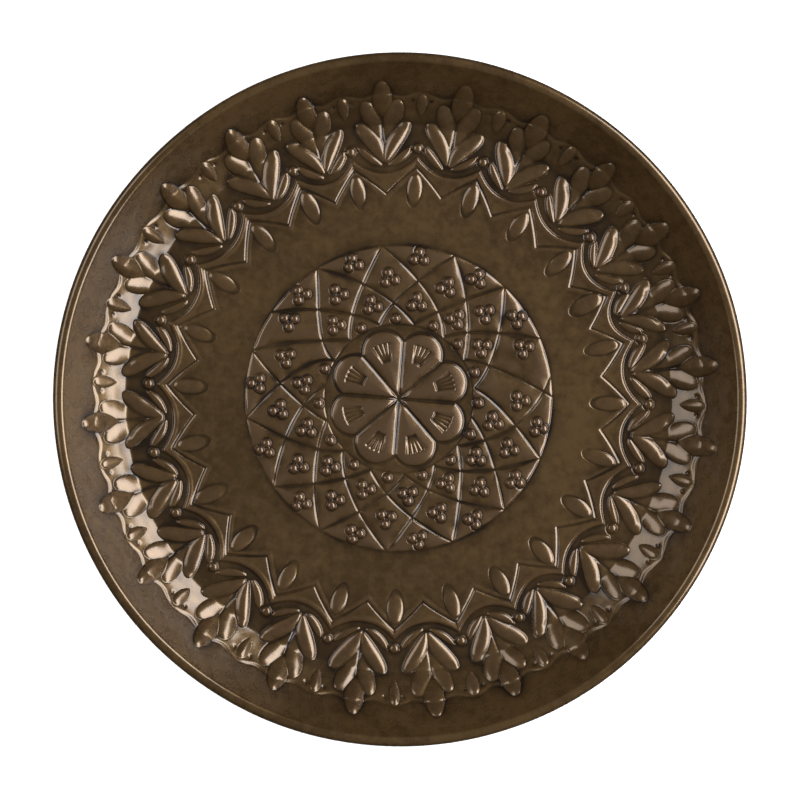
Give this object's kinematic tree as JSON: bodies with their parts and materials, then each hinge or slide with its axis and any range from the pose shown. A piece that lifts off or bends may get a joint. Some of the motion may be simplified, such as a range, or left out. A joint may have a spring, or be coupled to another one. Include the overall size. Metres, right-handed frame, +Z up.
{
  "type": "embossed round tray",
  "caption": "Round copper serving tray with a sloping wall, an edge rolled over a wire, an embossed lattice medallion with a petalled rosette, and a border of leaves and beads.",
  "frame": {"origin": "on the resting plane, under the centre of the tray", "axes": "+Z up out of the tray, its symmetry axis; +X and +Y are level, with a border bead near +X"},
  "size_m": [0.4, 0.3998, 0.035],
  "materials": {
    "antiqued_copper": "antiqued copper, brown patina dark in the recesses, lacquered to a satin gloss",
    "steel_wire": "bare drawn iron wire, dull grey"
  },
  "bodies": {
    "root": {"tray_pan": "antiqued_copper", "rim_wire": "steel_wire"}
  },
  "joints": []
}
